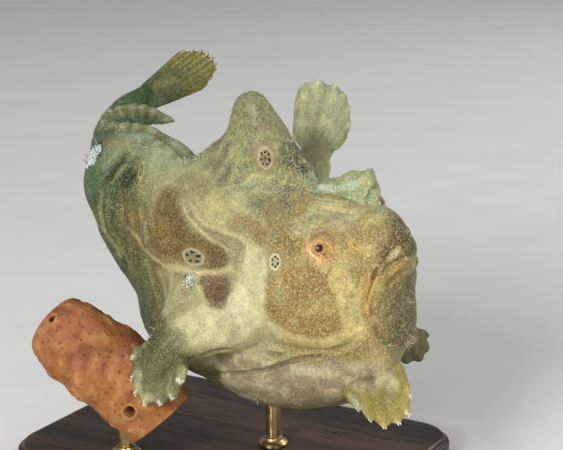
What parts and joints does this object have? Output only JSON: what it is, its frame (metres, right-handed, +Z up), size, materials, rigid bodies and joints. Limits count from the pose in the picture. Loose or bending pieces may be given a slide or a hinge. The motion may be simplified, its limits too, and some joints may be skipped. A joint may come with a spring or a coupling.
{
  "type": "frogfish display model",
  "caption": "Life-size still model of a mottled frogfish gripping a cut length of finger sponge, held by rods on a flat base.",
  "frame": {"origin": "middle of the base's flat underside", "axes": "+X towards the fish's head, +Y to the fish's left, +Z up"},
  "size_m": [0.1159, 0.0779, 0.1042],
  "materials": {
    "fish_skin": "moist granular skin, mottled olive beige, ochre and brown",
    "fish_eye": "wet gloss",
    "sponge": "soft porous sponge, orange brown",
    "base_wood": "dark stained, satin lacquer",
    "rod_metal": "satin, lightly aged"
  },
  "bodies": {
    "root": {"head": "fish_skin", "lower_jaw": "fish_skin", "trunk": "fish_skin", "tail": "fish_skin", "caudal_fin": "fish_skin", "soft_dorsal_fin": "fish_skin", "anal_fin": "fish_skin", "third_dorsal_spine": "fish_skin", "second_dorsal_spine": "fish_skin", "illicium": "fish_skin", "pectoral_fin_right": "fish_skin", "pectoral_fin_left": "fish_skin", "pelvic_fin_right": "fish_skin", "pelvic_fin_left": "fish_skin", "eye_right": "fish_eye", "eye_left": "fish_eye", "perch": "sponge", "stand_base": "base_wood", "stand_rod_body": "rod_metal", "stand_rod_perch": "rod_metal"}
  },
  "joints": []
}
